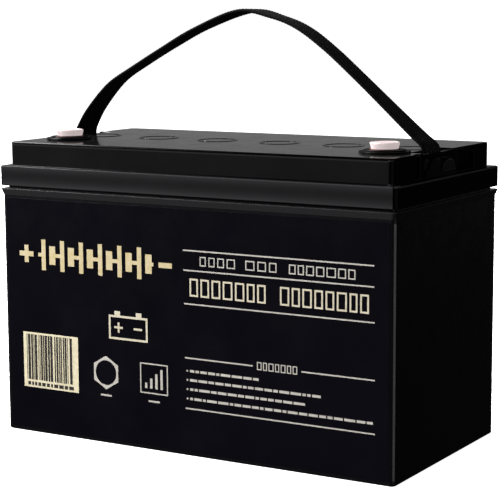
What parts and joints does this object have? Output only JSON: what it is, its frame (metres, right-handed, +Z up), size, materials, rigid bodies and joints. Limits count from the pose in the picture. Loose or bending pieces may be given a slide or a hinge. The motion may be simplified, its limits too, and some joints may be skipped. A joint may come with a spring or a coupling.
{
  "type": "deep cycle battery",
  "caption": "Sealed rectangular deep cycle battery with a stepped lid, two capped threaded terminals, round vent covers and a woven carrying strap.",
  "frame": {"origin": "centre of the footprint, on the underside of the case", "axes": "+Z up, +X along the long side, the label faces -Y"},
  "size_m": [0.3328, 0.1738, 0.319],
  "materials": {
    "case": "black ABS, semi gloss",
    "lid": "black ABS, glossy top",
    "label": "printed film, near black with gold print",
    "collar": "black, glossy",
    "seal": "dark red rubber",
    "terminal": "machined brass",
    "lead": "cast lead, dull grey",
    "cap": "translucent milky polyethylene",
    "vent_cover": "black ABS, glossy",
    "valve_rubber": "soft black rubber",
    "positive_plate": "porous brown lead dioxide",
    "negative_plate": "porous grey sponge lead",
    "separator": "white absorbent glass mat",
    "webbing": "black woven nylon webbing",
    "shoe": "moulded black nylon"
  },
  "bodies": {
    "battery": {"case": "case", "lid": "lid", "front_label": "label", "collar_negative": "collar", "collar_positive": "collar", "seal_negative": "seal", "seal_positive": "seal", "terminal_negative": "terminal", "terminal_positive": "terminal", "post_negative": "lead", "post_positive": "lead", "vent_cover_1": "vent_cover", "vent_cover_2": "vent_cover", "vent_cover_3": "vent_cover", "vent_cover_4": "vent_cover", "vent_cover_5": "vent_cover", "vent_cover_6": "vent_cover", "valve_cap_1": "valve_rubber", "valve_cap_2": "valve_rubber", "valve_cap_3": "valve_rubber", "valve_cap_4": "valve_rubber", "valve_cap_5": "valve_rubber", "valve_cap_6": "valve_rubber", "positive_plates_1": "positive_plate", "positive_plates_2": "positive_plate", "positive_plates_3": "positive_plate", "positive_plates_4": "positive_plate", "positive_plates_5": "positive_plate", "positive_plates_6": "positive_plate", "negative_plates_1": "negative_plate", "negative_plates_2": "negative_plate", "negative_plates_3": "negative_plate", "negative_plates_4": "negative_plate", "negative_plates_5": "negative_plate", "negative_plates_6": "negative_plate", "separators_1": "separator", "separators_2": "separator", "separators_3": "separator", "separators_4": "separator", "separators_5": "separator", "separators_6": "separator", "positive_busbars": "lead", "negative_busbars": "lead", "cell_links": "lead"},
    "handle": {"strap": "webbing", "strap_shoe_left": "shoe", "strap_shoe_right": "shoe"},
    "cap_neg": {"cap_negative": "cap"},
    "cap_pos": {"cap_positive": "cap"}
  },
  "joints": [
    {"name": "strap_swing", "type": "hinge", "parent": "battery", "child": "handle", "pos_m": [0, 0, 0.208], "axis": [0.9985, -0.0541, 0], "range_deg": [-16, 16]},
    {"name": "cap_negative_lift", "type": "slide", "parent": "battery", "child": "cap_neg", "axis": [0, 0, 1], "range_m": [0, 0.045]},
    {"name": "cap_positive_lift", "type": "slide", "parent": "battery", "child": "cap_pos", "axis": [0, 0, 1], "range_m": [0, 0.045]}
  ]
}
